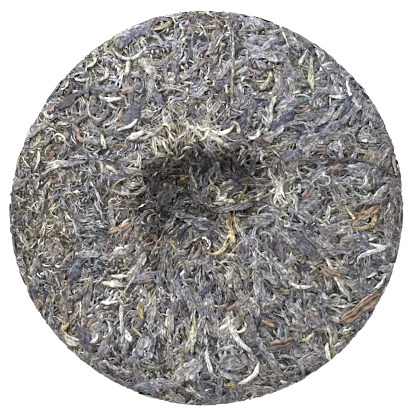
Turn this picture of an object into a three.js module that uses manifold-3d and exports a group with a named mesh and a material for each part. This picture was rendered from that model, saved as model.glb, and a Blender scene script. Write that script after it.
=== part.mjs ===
// A pu erh tea cake: whole sun-dried tea leaves, steamed soft in a cloth bag and pressed under a
// stone mould into one hard disc. It lies on its smooth front face, with the back upwards. The
// knot of the bag left an oval hollow in the back, a little off the middle, and pulled the leaves
// towards it. The cake is one solid: a core of pressed tea with its larger leaves, buds and stems
// fused on at their real size. Units are millimetres, +Z is up, and the origin is on the table
// under the middle of the cake. +Y points to the side of the cake that the hollow lies nearer to.

import * as THREE from "three";
import Module from "manifold-3d";
import { mergeVertices } from "three/addons/utils/BufferGeometryUtils.js";

// The pressed disc. Its section is flat in the middle of each face, falls away in a long curve
// and turns over the rim in a short one. A slope is the fall for each millimetre outwards.
const cakeRadius = 99.2;
const rimHeight = 10; // height of the widest line of the rim
const back = { height: 24.6, flatRadius: 34, turnRadius: 88, turnHeight: 19.2, slope: 0.23 };
const front = { height: 0.7, flatRadius: 54, turnRadius: 90, turnHeight: 2.9, slope: 0.13 };
// Unevenness of the outline: [waves round the cake, depth, turn in degrees].
const outlineWaves = [
  [2, 0.53, -107],
  [3, 0.41, 104],
  [4, 0.36, -39],
  [5, 0.25, 178],
];

// The hollow left by the knot: a rounded oblong with a steep far wall and a long near slope.
const hollow = { x: -1.5, y: 9.5, halfLength: 32, halfWidth: 22.5, depth: 12, squareness: 2.5 };
const hollowFloor = 0.38; // share of the way out to the brim where the floor ends
const hollowBrim = 1.05; // share where the wall meets the back, on the far side
const nearSlope = 0.35; // how much further out the brim lies on the near side
const lipHeight = 0.9; // swelling just outside the brim
const lipWidth = 0.22; // as a share of the way out

// Relief of the back between the leaves.
const reliefHeight = 0.5;
const reliefPitch = 21;

// The mesh of the core: sectors round it, and rings by distance along the back, rim and front.
const coreSectors = 60;
const ringDistances = [
  0, 8, 13, 18, 23, 28, 34, 42, 53, 65, 77, 87, 94, 99, 103, 107, 111, 116, 123, 134, 150, 172,
];

// Each leaf is a bent spindle of three sides: a keel along its top, and an underside that lies
// just below the surface of the core.
const leafSides = 3;
const leafStations = 5;
const taperPower = 2.4; // how blunt the ends are
const thinnest = 1.5; // thickness of a leaf of no width, and what its width adds
const thicknessShare = 0.2;
const leafLift = 0.35; // height of a leaf's middle line over the core
const endDip = 1.1; // how far its ends sink

// The rest of the leaves, spread over both faces.
const backLeafCount = 64;
const frontLeafCount = 34;
const goldenAngle = Math.PI * (3 - Math.sqrt(5));
const rimReach = 112; // distance from the middle of the back to the lower part of the rim
const seed = 357;

// The broad leaf in the middle of the front, which the cake stands level on with the others.
const restLeaf = { x: 0, y: 0, heading: 0.4, length: 24, width: 9, bend: 0, sway: 0, twist: 0 };

// The leaves that stand out on the back: x, y, heading in degrees, length, width, bend, sway.
// Bend and sway are shares of the length: an arch to the left, and an S.
const notableLeaves = [
  [78, -50, 32, 27, 6.2, 0.05, 0.02], // broad russet leaf on the rim
  [16, -63, -62, 26, 3.0, 0.02, 0.12], // pale bud with an S bend
  [-7, -62, 88, 19, 2.8, 0.03, 0.04],
  [1, -77, -78, 14, 2.4, 0.02, 0.0],
  [21, -83, 42, 16, 3.0, 0.08, 0.03],
  [84, -24, 24, 18, 2.2, -0.22, 0.05], // hooked bud
  [66, -36, -58, 27, 2.4, -0.04, 0.03],
  [48, -39, -6, 12, 3.2, 0.06, 0.0],
  [83, -5, 12, 12, 6.0, 0.0, 0.0],
  [12, -9, -76, 12, 3.4, 0.06, 0.0],
  [9, -20, 26, 13, 2.4, 0.04, 0.05],
  [6, 35, -33, 19, 4.0, 0.03, 0.0], // striped leaves over the far wall
  [-8, 39, -34, 15, 3.0, -0.03, 0.0],
  [9, 40, 12, 15, 2.6, 0.2, 0.0],
  [-35, 38, 18, 12, 3.4, -0.06, 0.0],
  [9, 5, -20, 14, 3.2, 0.3, 0.0], // curl on the floor of the hollow
  [19, 7, 51, 9, 2.6, 0.0, 0.0],
  [12, 1, 10, 19, 5.0, -0.04, 0.0],
  [-7, 16, -76, 14, 2.2, 0.03, 0.03],
  [-21, 8, 70, 14, 8.0, 0.0, 0.0],
  [-39, 48, 0, 12, 7.5, 0.0, 0.0],
  [-49, 56, -5, 13, 2.6, 0.02, 0.0],
  [-37, 78, -12, 14, 2.4, -0.16, 0.0],
  [-32, 90, 34, 15, 4.4, 0.0, 0.0],
  [53, 68, -87, 20, 4.4, 0.04, 0.0],
  [39, 86, -75, 16, 1.8, 0.08, 0.0],
  [13, 70, 90, 43, 1.8, 0.02, 0.01], // long stem across the far half
  [68, 23, -4, 56, 2.0, -0.08, 0.03], // long dark stem towards the right
  [42, 27, 20, 11, 4.4, 0.0, 0.0],
  [79, 14, 58, 12, 2.2, 0.06, 0.0],
  [73, 57, -88, 14, 2.4, 0.2, 0.0],
  [-44, -34, -3, 11, 2.8, 0.0, 0.0],
  [-49, -47, 4, 12, 3.0, 0.0, 0.0],
  [-38, -37, 66, 22, 2.0, 0.06, 0.0],
  [-43, -57, 88, 17, 2.2, 0.03, 0.0],
  [-33, -51, -82, 12, 4.0, 0.0, 0.0],
  [-57, -66, 88, 11, 2.2, -0.28, 0.0],
  [-66, -43, 32, 16, 3.6, 0.0, 0.0],
  [-43, -11, 35, 12, 4.4, 0.0, 0.0],
  [-40, 9, -4, 18, 2.2, -0.12, 0.0],
  [51, -20, -50, 16, 8.0, 0.0, 0.0],
  [70, -19, -40, 13, 7.0, 0.0, 0.0],
  [63, -73, 75, 13, 2.2, -0.22, 0.0],
];

const degrees = Math.PI / 180;
const wasm = await Module();
wasm.setup();

// A small seeded generator of numbers from 0 to 1, so that the cake is the same each time.
function seededRandom(state) {
  return () => {
    state = (state + 0x6d2b79f5) | 0;
    let t = Math.imul(state ^ (state >>> 15), 1 | state);
    t = (t + Math.imul(t ^ (t >>> 7), 61 | t)) ^ t;
    return ((t ^ (t >>> 14)) >>> 0) / 4294967296;
  };
}

// Half of the cake's section, from the middle of the back over the rim to the middle of the
// front. Each curve's middle point is where the lines that it touches at its two ends meet.
function drawHalfSection() {
  const fall = (face, sign) => ({
    faceBend: face.turnRadius - (sign * (face.height - face.turnHeight)) / face.slope,
    rimBend: face.turnHeight - sign * face.slope * (cakeRadius - face.turnRadius),
  });
  const { faceBend: backBend, rimBend: upperBend } = fall(back, 1);
  const { faceBend: frontBend, rimBend: lowerBend } = fall(front, -1);
  return new THREE.Path()
    .moveTo(0, back.height)
    .lineTo(back.flatRadius, back.height)
    .quadraticCurveTo(backBend, back.height, back.turnRadius, back.turnHeight)
    .quadraticCurveTo(cakeRadius, upperBend, cakeRadius, rimHeight)
    .quadraticCurveTo(cakeRadius, lowerBend, front.turnRadius, front.turnHeight)
    .quadraticCurveTo(frontBend, front.height, front.flatRadius, front.height)
    .lineTo(0, front.height);
}
const halfSection = drawHalfSection();
const sectionLength = halfSection.getLength();

// How far the cake's edge stands out in this direction, as a multiple of its mean radius.
function outlineAt(bearing) {
  return outlineWaves.reduce(
    (sum, [waves, depth, turn]) =>
      sum + (depth / cakeRadius) * Math.cos(waves * bearing + turn * degrees),
    1,
  );
}

// How far the hollow and its lip move the back's surface up or down at x, y.
function hollowAt(x, y) {
  const u = Math.abs((x - hollow.x) / hollow.halfLength);
  const v = (y - hollow.y) / hollow.halfWidth;
  const near = v < 0 ? 1 + nearSlope * Math.min(-v, 1) : 1;
  const n = hollow.squareness;
  const out = (u ** n + Math.abs(v / near) ** n) ** (1 / n);
  const wall = THREE.MathUtils.smoothstep(out, hollowFloor, hollowBrim);
  const lip = lipHeight * Math.exp(-(((out - hollowBrim) / lipWidth) ** 2));
  return lip - hollow.depth * (1 - wall);
}

// The point of the smooth cake that lies at a distance along the section from the middle of the
// back, in the direction of a bearing.
function smoothPoint(distance, bearing) {
  const share = THREE.MathUtils.clamp(distance / sectionLength, 0, 1);
  const section = halfSection.getPointAt(share);
  const radius = section.x * (1 + (outlineAt(bearing) - 1) * (section.x / cakeRadius));
  const x = radius * Math.cos(bearing);
  const y = radius * Math.sin(bearing);
  const onBack = THREE.MathUtils.smoothstep(section.y, rimHeight, rimHeight + 4);
  return new THREE.Vector3(x, y, section.y + onBack * hollowAt(x, y));
}

// Rolls a flat sheet over one face of the cake: x and y run from the middle of that face.
function rolledPoint(x, y, onFront) {
  const distance = Math.hypot(x, y);
  return smoothPoint(onFront ? sectionLength - distance : distance, Math.atan2(y, x));
}

// The same, with the direction that points out of the tea there.
function rolledFrame(x, y, onFront) {
  const step = 0.5;
  const alongX = rolledPoint(x + step, y, onFront).sub(rolledPoint(x - step, y, onFront));
  const alongY = rolledPoint(x, y + step, onFront).sub(rolledPoint(x, y - step, onFront));
  const out = alongX.cross(alongY).normalize();
  return { point: rolledPoint(x, y, onFront), out: onFront ? out.negate() : out };
}

// A closed geometry as a solid that can be joined and cut.
function solidFrom(geometry) {
  geometry.deleteAttribute("normal");
  geometry.deleteAttribute("uv");
  const merged = mergeVertices(geometry, 1e-4);
  return new wasm.Manifold(
    new wasm.Mesh({
      numProp: 3,
      vertProperties: new Float32Array(merged.getAttribute("position").array),
      triVerts: new Uint32Array(merged.index.array),
    }),
  );
}

// Low crossing swells of the back, where more or less leaf was laid in the bag.
function reliefAt({ x, y }) {
  const wave = (2 * Math.PI) / reliefPitch;
  return reliefHeight * Math.sin(wave * x + Math.sin(wave * y)) * Math.sin(wave * y + 0.5 * wave * x);
}

// The core: the grid of a sphere laid over the cake, with its rings drawn in towards the hollow.
function pressedCore() {
  const rings = [...ringDistances, sectionLength];
  const geometry = new THREE.SphereGeometry(1, coreSectors, rings.length - 1);
  const position = geometry.getAttribute("position");
  for (let i = 0; i < position.count; i++) {
    const bearing = Math.atan2(-position.getZ(i), position.getX(i));
    const distance = rings[Math.floor(i / (coreSectors + 1))];
    const onFront = distance > rimReach;
    const reach = onFront ? sectionLength - distance : distance;
    const slide = onFront ? 0 : (1 - distance / rimReach) ** 2;
    const { point, out } = rolledFrame(
      reach * Math.cos(bearing) + slide * hollow.x,
      reach * Math.sin(bearing) + slide * hollow.y,
      onFront,
    );
    if (!onFront) point.addScaledVector(out, reliefAt(point));
    position.setXYZ(i, point.x, point.y, point.z);
  }
  return solidFrom(geometry);
}

// One leaf, bud or stem: the grid of a sphere drawn out along a bent line on the cake. It tapers
// to both ends, which dip into the core, and its section turns a little as the leaf is twisted.
function pressedLeaf({ x, y, heading, length, width, bend, sway, twist, onFront }) {
  const keelUp = Math.PI / 2;
  const geometry = new THREE.SphereGeometry(1, leafSides, leafStations, keelUp);
  const position = geometry.getAttribute("position");
  const thickness = thinnest + thicknessShare * width;
  const along = [Math.cos(heading), Math.sin(heading)];
  const centreLine = (t) => {
    const forward = 0.5 * length * t;
    const aside = length * (bend * (t * t - 0.3) + 2 * sway * t * (1 - t * t));
    const sheetX = x + forward * along[0] - aside * along[1];
    const sheetY = y + forward * along[1] + aside * along[0];
    return rolledFrame(sheetX, sheetY, onFront);
  };
  for (let i = 0; i < position.count; i++) {
    const t = position.getY(i);
    const around = Math.atan2(position.getZ(i), position.getX(i)) + twist * t;
    const taper = Math.sqrt(Math.max(0, 1 - Math.abs(t) ** taperPower));
    const { point, out } = centreLine(t);
    const forwards = centreLine(t + 0.05).point.sub(centreLine(t - 0.05).point).normalize();
    const across = forwards.clone().cross(out).normalize();
    const up = across.clone().cross(forwards);
    point.addScaledVector(across, (width / Math.sqrt(3)) * taper * Math.cos(around));
    point.addScaledVector(up, 0.5 * thickness * taper * Math.sin(around));
    point.addScaledVector(out, leafLift - endDip * t * t);
    position.setXYZ(i, point.x, point.y, point.z);
  }
  return solidFrom(geometry);
}

// The leaves that the eye picks out on the back.
function notableOnBack() {
  return notableLeaves.map(([x, y, heading, length, width, bend, sway]) => ({
    x: x * sheetStretch(x, y), y: y * sheetStretch(x, y), heading: heading * degrees,
    length, width, bend, sway, twist: 0.25, onFront: false,
  }));
}

// The flat sheet is longer than the cake's plan, because it bends down over the rim.
function sheetStretch(x, y) {
  const plan = Math.hypot(x, y);
  let distance = plan;
  while (halfSection.getPointAt(distance / sectionLength).x < plan && distance < rimReach) {
    distance += 0.25;
  }
  return plan > 0 ? distance / plan : 1;
}

// Leaves spread evenly over one face in a sunflower spiral, each turned towards the hollow near
// the middle and along the rim near the edge, with a random share in every size.
function scatteredOn(onFront, count, reach, random) {
  const between = (low, high) => low + (high - low) * random();
  return Array.from({ length: count }, (_, i) => {
    const distance = reach * Math.sqrt((i + 0.5) / count) + between(-3, 3);
    const bearing = i * goldenAngle + between(-0.15, 0.15);
    const rimward = THREE.MathUtils.smoothstep(distance, 0.6 * reach, 0.95 * reach);
    return {
      x: distance * Math.cos(bearing),
      y: distance * Math.sin(bearing),
      heading: bearing + rimward * 0.5 * Math.PI + between(-0.9, 0.9),
      length: between(13, 25),
      width: between(2.6, 6.4),
      bend: between(-0.16, 0.16),
      sway: between(-0.05, 0.05),
      twist: between(-0.4, 0.4),
      onFront,
    };
  });
}

// The table under the cake, as a block that trims the leaves of the front flush.
function tableBlock() {
  const side = 3 * cakeRadius;
  return solidFrom(new THREE.BoxGeometry(side, side, side).translate(0, 0, -0.5 * side));
}

// The outer skin of a joined solid, without loose scraps or the hollows that joining sealed.
function largestBody(solid) {
  return solid.decompose().reduce((kept, body) => (body.volume() > kept.volume() ? body : kept));
}

// A joined solid as a geometry, moved so that the middle of its outline stands on the origin.
function geometryFrom(solid) {
  const { vertProperties, triVerts } = solid.getMesh();
  const geometry = new THREE.BufferGeometry();
  geometry.setAttribute("position", new THREE.BufferAttribute(new Float32Array(vertProperties), 3));
  geometry.setIndex(new THREE.BufferAttribute(new Uint32Array(triVerts), 1));
  geometry.computeBoundingBox();
  const middle = geometry.boundingBox.getCenter(new THREE.Vector3());
  geometry.translate(-middle.x, -middle.y, 0);
  geometry.computeVertexNormals();
  return geometry;
}

function teaCake() {
  const random = seededRandom(seed);
  const leaves = [
    ...notableOnBack(),
    ...scatteredOn(false, backLeafCount, rimReach, random),
    ...scatteredOn(true, frontLeafCount, sectionLength - rimReach, random),
    { ...restLeaf, onFront: true },
  ];
  const joined = leaves.reduce((cake, leaf) => cake.add(pressedLeaf(leaf)), pressedCore());
  const cake = new THREE.Mesh(
    geometryFrom(largestBody(joined.subtract(tableBlock()))),
    new THREE.MeshStandardMaterial({ color: 0x77736f, roughness: 0.75, metalness: 0 }),
  );
  cake.name = "tea_cake";
  return cake;
}

const group = new THREE.Group();
group.add(teaCake());
export default group;
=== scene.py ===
"""A pu erh tea cake, lying on its front with its back and the hollow of the bag's knot upwards.

Lengths are in millimetres until a mesh is written, which is in metres in the frame's own axes.
"""

import bpy
import numpy as np
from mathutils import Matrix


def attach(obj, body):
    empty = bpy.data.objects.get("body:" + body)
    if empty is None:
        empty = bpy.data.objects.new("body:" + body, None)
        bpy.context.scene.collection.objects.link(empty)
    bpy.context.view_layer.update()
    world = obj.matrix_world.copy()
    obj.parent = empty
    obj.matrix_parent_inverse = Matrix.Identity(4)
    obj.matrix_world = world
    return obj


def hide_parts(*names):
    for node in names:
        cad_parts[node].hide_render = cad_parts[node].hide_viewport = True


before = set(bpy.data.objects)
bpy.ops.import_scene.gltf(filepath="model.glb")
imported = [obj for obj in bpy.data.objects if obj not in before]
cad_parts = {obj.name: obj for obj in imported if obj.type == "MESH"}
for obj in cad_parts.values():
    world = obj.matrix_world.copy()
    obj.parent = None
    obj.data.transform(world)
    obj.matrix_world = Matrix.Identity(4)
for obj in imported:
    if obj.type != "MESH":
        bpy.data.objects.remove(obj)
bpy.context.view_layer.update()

# The pressed tea: the mass of small leaf in the middle of the cake. It was steamed soft in a bag
# and pressed to a disc with a rounded rim, and the bag's knot left a hollow in its back.
# Everything else lies on its surface, so its shape is worked out first.
MM = 0.001
CAKE_RADIUS = 99.2
RIM_HEIGHT = 10.0  # height of the widest line of the rim
BACK = {"height": 24.6, "flat_radius": 34.0, "turn_radius": 88.0, "turn_height": 19.2, "slope": 0.23}
FRONT = {"height": 0.7, "flat_radius": 54.0, "turn_radius": 90.0, "turn_height": 2.9, "slope": 0.13}
OUTLINE_WAVES = ((2, 0.53, -107), (3, 0.41, 104), (4, 0.36, -39), (5, 0.25, 178))
HOLLOW = {"x": -1.5, "y": 9.5, "half_length": 32.0, "half_width": 22.5, "depth": 12.0}
HOLLOW_SQUARENESS = 2.5
HOLLOW_FLOOR = 0.38  # share of the way out to the brim where the floor ends
HOLLOW_BRIM = 1.05
NEAR_SLOPE = 0.35  # how much further out the brim lies on the near side
LIP_HEIGHT = 0.9
LIP_WIDTH = 0.22
SWELL_HEIGHT = 0.5  # low swells of the back, where more or less leaf was laid in the bag
SWELL_PITCH = 21.0
HOLLOW_SHADE = 0.66  # how much painted shade darkens the leaf in the hollow
# Where the back is darker or lighter in patches, which in and round the hollow are painted shade and
# # painted light, and where it is browner or bluer: rows of x, y, reach and how much darker or browner.
PAINTED_SHADE_PATCHES = (
    (-68, 57, 13, 0.25), (-39, 50, 14, -0.13), (-49, -49, 13, -0.22), (-70, -49, 12, -0.1),
    (-49, -9, 12, 0.1), (50, 11, 12, 0.1), (69, -68, 12, 0.1), (2, -11, 7, 0.6),
    (-9, -10, 7, -0.45), (-29, 20, 7, -0.25), (-10, -87, 12, -0.12), (47, -55, 22, 0.08),
    (42, -11, 9, 0.15), (21, 22, 12, 0.5), (-4, -5, 9, 0.3), (-38, 15, 11, 0.2),
    (-9, 29, 8, -0.2), (-12, 42, 12, 0.1), (16, 14, 9, 0.3), (27, 24, 6, 0.4),
    (27, -10, 6, -0.25), (-30, 25, 6, -0.35), (-15, -6, 7, -0.3), (2, 27, 8, -0.3),
    (52, -28, 12, -0.08), (14, -19, 10, -0.12),
)
WARM_PATCHES = ((-12, 40, 20, 0.3), (60, 56, 30, -0.3), (0, 88, 22, -0.25))
FINEST_LEAF = {"x": -85, "y": 5, "reach": 15, "fades_at": 80}  # where the smallest leaf lies


def smoothstep(value, low, high):
    """0 below low, 1 above high, and 3t² - 2t³ of the way t between them."""
    t = np.clip((value - low) / (high - low), 0.0, 1.0)
    return t * t * (3.0 - 2.0 * t)


def bend(start, middle, end):
    """A quadratic curve a(1-t)² + 2b·t(1-t) + c·t² from a to c, without its first point."""
    point_count = 80
    t = np.linspace(0.0, 1.0, point_count)[1:, None]
    return np.array(start) * (1 - t) ** 2 + 2 * np.array(middle) * t * (1 - t) + np.array(end) * t**2


def face_section(face, sign):
    """One face's section from its middle to the widest line: a flat, then two bends whose middle
    points are where the lines that they touch at their ends meet."""
    rim = (CAKE_RADIUS, RIM_HEIGHT)
    turn = (face["turn_radius"], face["turn_height"])
    flat_end = (face["flat_radius"], face["height"])
    level_to = face["turn_radius"] - sign * (face["height"] - face["turn_height"]) / face["slope"]
    down_to = face["turn_height"] - sign * face["slope"] * (CAKE_RADIUS - face["turn_radius"])
    fall = bend(flat_end, (level_to, face["height"]), turn)
    turn_in = bend(turn, (CAKE_RADIUS, down_to), rim)
    return np.concatenate([[(0.0, face["height"]), flat_end], fall, turn_in])


SECTION = np.concatenate([face_section(BACK, 1), face_section(FRONT, -1)[::-1][1:]])
SECTION_DISTANCE = np.concatenate([[0.0], np.cumsum(np.hypot(*np.diff(SECTION, axis=0).T))])
SECTION_LENGTH = SECTION_DISTANCE[-1]
RIM_REACH = 112.0  # distance from the middle of the back to the lower part of the rim


def hollow_share(x, y):
    """How far out a place is from the middle of the hollow, 1 at its edge: the rounded oblong
    (u^n + v^n)^(1/n), drawn out on the near side."""
    u = np.abs((x - HOLLOW["x"]) / HOLLOW["half_length"])
    v = (y - HOLLOW["y"]) / HOLLOW["half_width"]
    near = np.where(v < 0, 1 + NEAR_SLOPE * np.minimum(-v, 1.0), 1.0)
    return (u**HOLLOW_SQUARENESS + np.abs(v / near) ** HOLLOW_SQUARENESS) ** (1 / HOLLOW_SQUARENESS)


def hollow_depth(x, y):
    """How far the hollow moves the back down, with a smooth wall, and its bell-shaped lip up."""
    share = hollow_share(x, y)
    lip = LIP_HEIGHT * np.exp(-(((share - HOLLOW_BRIM) / LIP_WIDTH) ** 2))
    return lip - HOLLOW["depth"] * (1 - smoothstep(share, HOLLOW_FLOOR, HOLLOW_BRIM))


def rolled(x, y, front):
    """The point of the smooth cake under x, y of a flat sheet that is rolled over one face: the
    sheet's polar distance is measured along the half section, and its bearing is kept."""
    reach = np.hypot(x, y)
    bearing = np.arctan2(y, x)
    distance = np.clip(np.where(front, SECTION_LENGTH - reach, reach), 0.0, SECTION_LENGTH)
    radius = np.interp(distance, SECTION_DISTANCE, SECTION[:, 0])
    z = np.interp(distance, SECTION_DISTANCE, SECTION[:, 1])
    waves = sum(d * np.cos(k * bearing + np.radians(turn)) for k, d, turn in OUTLINE_WAVES)
    radius = radius * (1 + waves * radius / CAKE_RADIUS**2)
    px = radius * np.cos(bearing)
    py = radius * np.sin(bearing)
    wave = 2 * np.pi / SWELL_PITCH
    swell = SWELL_HEIGHT * np.sin(wave * px + np.sin(wave * py)) * np.sin(wave * py + 0.5 * wave * px)
    on_back = smoothstep(z, RIM_HEIGHT, RIM_HEIGHT + 4)
    return np.stack([px, py, z + on_back * (hollow_depth(px, py) + swell)], axis=-1)


def laid(x, y, height, front):
    """The point at a height over the rolled sheet, out along its normal, which is the cross
    product of the sheet's slopes in x and y."""
    step = 0.4
    along_x = rolled(x + step, y, front) - rolled(x - step, y, front)
    along_y = rolled(x, y + step, front) - rolled(x, y - step, front)
    out = np.cross(along_x, along_y)
    out /= np.maximum(np.linalg.norm(out, axis=-1, keepdims=True), 1e-9)
    side = np.where(front, -1.0, 1.0)
    return rolled(x, y, front) + out * (side * height)[..., None]


def lumps(x, y, pitch, seed):
    """Smooth random lumps from -1 to 1: seven sine waves of about this pitch that cross."""
    draw = np.random.default_rng(seed)
    wave_count = 7
    total = np.zeros_like(x)
    for turn, stretch, phase in draw.uniform((0, 0.7, 0), (np.pi, 1.5, 2 * np.pi), (wave_count, 3)):
        wave = 2 * np.pi * stretch / pitch
        total = total + np.sin(wave * (x * np.cos(turn) + y * np.sin(turn)) + phase)
    return total / (0.5 * wave_count)


def patches_at(x, y, rows):
    """The sum of bell-shaped patches, whose rows give x, y, reach and amount."""
    return sum(c * np.exp(-((x - px) ** 2 + (y - py) ** 2) / reach**2) for px, py, reach, c in rows)


def coarseness(x, y):
    """0 where the leaf is finest, at the far left of the back, rising to 1 away from there."""
    distance = np.hypot(x - FINEST_LEAF["x"], y - FINEST_LEAF["y"])
    return smoothstep(distance, FINEST_LEAF["reach"], FINEST_LEAF["fades_at"])


def shade_of_place(points, front):
    """What share of its colour leaf keeps at a place: painted shade and light. It is less in the
    hollow, a painted shade, most of all up its steep walls and least on its near right slope, with an
    uneven edge. Round the hollow it goes with pale dust and with painted light and shade, lighter to
    the far side, in lumps and patches, and it falls at the rim, a painted shade."""
    x, y = points[..., 0], points[..., 1]
    share = hollow_share(x, y) - 0.12 * smoothstep(np.abs(x - HOLLOW["x"]), 16, 36)
    # Painted shade in the hollow, deepest up its walls and lightest on the near right slope.
    inside = 1 - smoothstep(share + 0.1 * lumps(x, y, 17, 41), 0.78, 1.15)
    up_the_wall = smoothstep(share, 0.25, 0.75)
    near_right = smoothstep(HOLLOW["y"] - y, 4, 24) * smoothstep(x, -8, 10)
    inside = inside * (0.68 + 0.32 * up_the_wall) * (1 - 0.7 * near_right)
    # Painted light and shade: lighter towards the far side and darker to the right, as the light falls
    # from the far left, with lumps of pale dust and patches of darker or lighter leaf.
    painted_light_far_side = smoothstep(y - 0.4 * x, -10, 50)
    painted_shade_right = smoothstep(x - 0.3 * y, 0, 60)
    dust_and_painted_light = 0.985 + 0.07 * painted_light_far_side - 0.03 * painted_shade_right - 0.05 * coarseness(x, y)
    dust_and_painted_light = dust_and_painted_light + 0.08 * lumps(x, y, 42, 43) + 0.07 * lumps(x, y, 17, 44)
    dust_and_painted_light = dust_and_painted_light - patches_at(x, y, PAINTED_SHADE_PATCHES)
    # Painted shade at the rim, where it turns down: darker all round, and most of all at the left.
    rim_shade_all_round, rim_shade_on_left = smoothstep(np.hypot(x, y), 88, 98), smoothstep(-x, 84, 97)
    rim = 1 - 0.1 * rim_shade_all_round - 0.25 * rim_shade_on_left
    return rim * np.where(front, 1.0, dust_and_painted_light * (1 - HOLLOW_SHADE * inside))


def warmth(points):
    """From 0 to 1, how warm the leaf's colour is at a place: lumps of browner and of bluer leaf
    a few centimetres across, browner in and above the hollow and at the left, and bluer at the
    top and the upper right."""
    x, y = points[..., 0], points[..., 1]
    in_hollow = 1 - smoothstep(hollow_share(x, y), 0.9, 1.4)
    at_left = smoothstep(-x, 40, 85) * smoothstep(-y, -50, -20)
    warm = 0.34 + 0.2 * in_hollow + 0.2 * at_left + patches_at(x, y, WARM_PATCHES)
    return np.clip(warm + 0.42 * lumps(x, y, 38, 31) + 0.3 * lumps(x, y, 13, 32), 0, 1)


def tube_faces(rings, sides):
    """The faces of a closed tube, quads between its rings and a fan of triangles at each tip:
    each corner's vertex, its share of the way round and along, and each face's corner count."""
    i, j = np.meshgrid(np.arange(rings - 1), np.arange(sides), indexing="ij")
    fan = np.arange(sides)
    quad_rings = np.stack([i, i, i + 1, i + 1], -1).ravel()
    quad_sides = np.stack([j, j + 1, j + 1, j], -1).ravel()
    first_fan = np.stack([fan + 0.5, fan + 1, fan], -1).ravel()
    last_fan = np.stack([fan + 0.5, fan, fan + 1], -1).ravel()
    tips = np.tile([-1, 0, 0], sides), np.tile([rings, rings - 1, rings - 1], sides)
    ring = np.concatenate([quad_rings, *tips])
    side = np.concatenate([quad_sides, first_fan, last_fan])
    vertex = np.clip(ring, 0, rings - 1) * sides + side.astype(int) % sides
    vertex[ring < 0] = rings * sides
    vertex[ring == rings] = rings * sides + 1
    corner_counts = np.repeat([4, 3], [(rings - 1) * sides, 2 * sides])
    return vertex, side / sides, (ring + 1) / (rings + 1), corner_counts


def add_object(name, data):
    """A mesh, a lamp or a camera as an object in the scene."""
    piece = bpy.data.objects.new(name, data)
    bpy.context.scene.collection.objects.link(piece)
    return piece


def write_mesh(name, points, corners, corner_counts, uv_maps, values):
    """A mesh object from whole arrays, in metres, with its UV maps and its values by vertex."""
    mesh = bpy.data.meshes.new(name)
    mesh.vertices.add(len(points))
    mesh.vertices.foreach_set("co", (points * MM).astype(np.float32).ravel())
    mesh.loops.add(len(corners))
    mesh.loops.foreach_set("vertex_index", corners.astype(np.int32))
    mesh.polygons.add(len(corner_counts))
    starts = np.cumsum(corner_counts) - corner_counts
    mesh.polygons.foreach_set("loop_start", starts.astype(np.int32))
    mesh.update(calc_edges=True)
    mesh.shade_smooth()
    for map_name, uv in uv_maps.items():
        layer = mesh.uv_layers.new(name=map_name)
        layer.uv.foreach_set("vector", uv.astype(np.float32).ravel())
    for value_name, value in values.items():
        attribute = mesh.attributes.new(value_name, "FLOAT", "POINT")
        attribute.data.foreach_set("value", value.astype(np.float32).ravel())
    return add_object(name, mesh)


def pressed_core():
    """The core as a closed tube of rings from the middle of the front out over the rim to the
    middle of the back, with lumps. Its UV map is a disc with the back in the middle."""
    sectors, rings = 240, 80
    sunk, sunk_at_rim, lump_height, lump_pitch, disc_radius = 0.7, 0.15, 0.45, 4.5, 0.49
    along, turn = np.meshgrid(np.linspace(1, 0, rings + 2), np.arange(sectors) / sectors, indexing="ij")
    distance, bearing = SECTION_LENGTH * along, 2 * np.pi * turn
    front = distance > RIM_REACH
    reach = np.where(front, SECTION_LENGTH - distance, distance)
    x, y = reach * np.cos(bearing), reach * np.sin(bearing)
    smooth = rolled(x, y, front)
    rough = lumps(smooth[..., 0], smooth[..., 1] + 2 * smooth[..., 2], lump_pitch, 11)
    sunk = sunk + (sunk_at_rim - sunk) * smoothstep(reach, 90, 102)
    grid = laid(x, y, lump_height * np.clip(rough, -1, 1) - sunk, front)
    points = np.concatenate([grid[1:-1].reshape(-1, 3), grid[[0, -1]].mean(axis=1)])
    on_front = np.concatenate([front[1:-1].ravel(), [True, False]])
    vertex, turn, along, corner_counts = tube_faces(rings, sectors)
    angle, from_middle = 2 * np.pi * turn, disc_radius * (1 - along[:, None])
    disc = 0.5 + from_middle * np.stack([np.cos(angle), np.sin(angle)], -1)
    values = {"shade": shade_of_place(points, on_front), "warmth": warmth(points)}
    return write_mesh("tea_core", points, vertex, corner_counts, {"OFBake": disc}, values)


def add_node(tree, kind, inputs, **settings):
    """A new shader node with its settings, and with its inputs by name or number, each of them a
    link or a value."""
    node = tree.nodes.new("ShaderNode" + kind)
    for setting, value in settings.items():
        setattr(node, setting, value)
    for key, value in inputs.items():
        if isinstance(value, bpy.types.NodeSocket):
            tree.links.new(value, node.inputs[key])
        else:
            node.inputs[key].default_value = value
    return node


def maths(tree, operation, *inputs, clamp=False):
    """A Math node's result. MULTIPLY_ADD is first × second + third."""
    numbered = dict(enumerate(inputs))
    return add_node(tree, "Math", numbered, operation=operation, use_clamp=clamp).outputs[0]


def mix_colour(tree, factor, first, second):
    """A colour that share of the way from the first to the second."""
    return add_node(tree, "Mix", {0: factor, 6: first, 7: second}, data_type="RGBA").outputs[2]


def times(tree, vector, factor):
    """A vector or colour link times one number's link, or times three numbers side by side."""
    if getattr(factor, "type", "") == "VALUE":
        return add_node(tree, "VectorMath", {0: vector, "Scale": factor}, operation="SCALE").outputs[0]
    return add_node(tree, "VectorMath", {0: vector, 1: factor}, operation="MULTIPLY").outputs[0]


def noise(tree, vector, scale, detail):
    """A Noise Texture on a vector link, as a value about 0.5."""
    inputs = {"Vector": vector, "Scale": scale, "Detail": detail, "Roughness": 0.55}
    return add_node(tree, "TexNoise", inputs).outputs["Fac"]


def value_of(tree, name):
    """A mesh's own value by vertex."""
    return add_node(tree, "Attribute", {}, attribute_name=name).outputs["Fac"]


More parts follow.
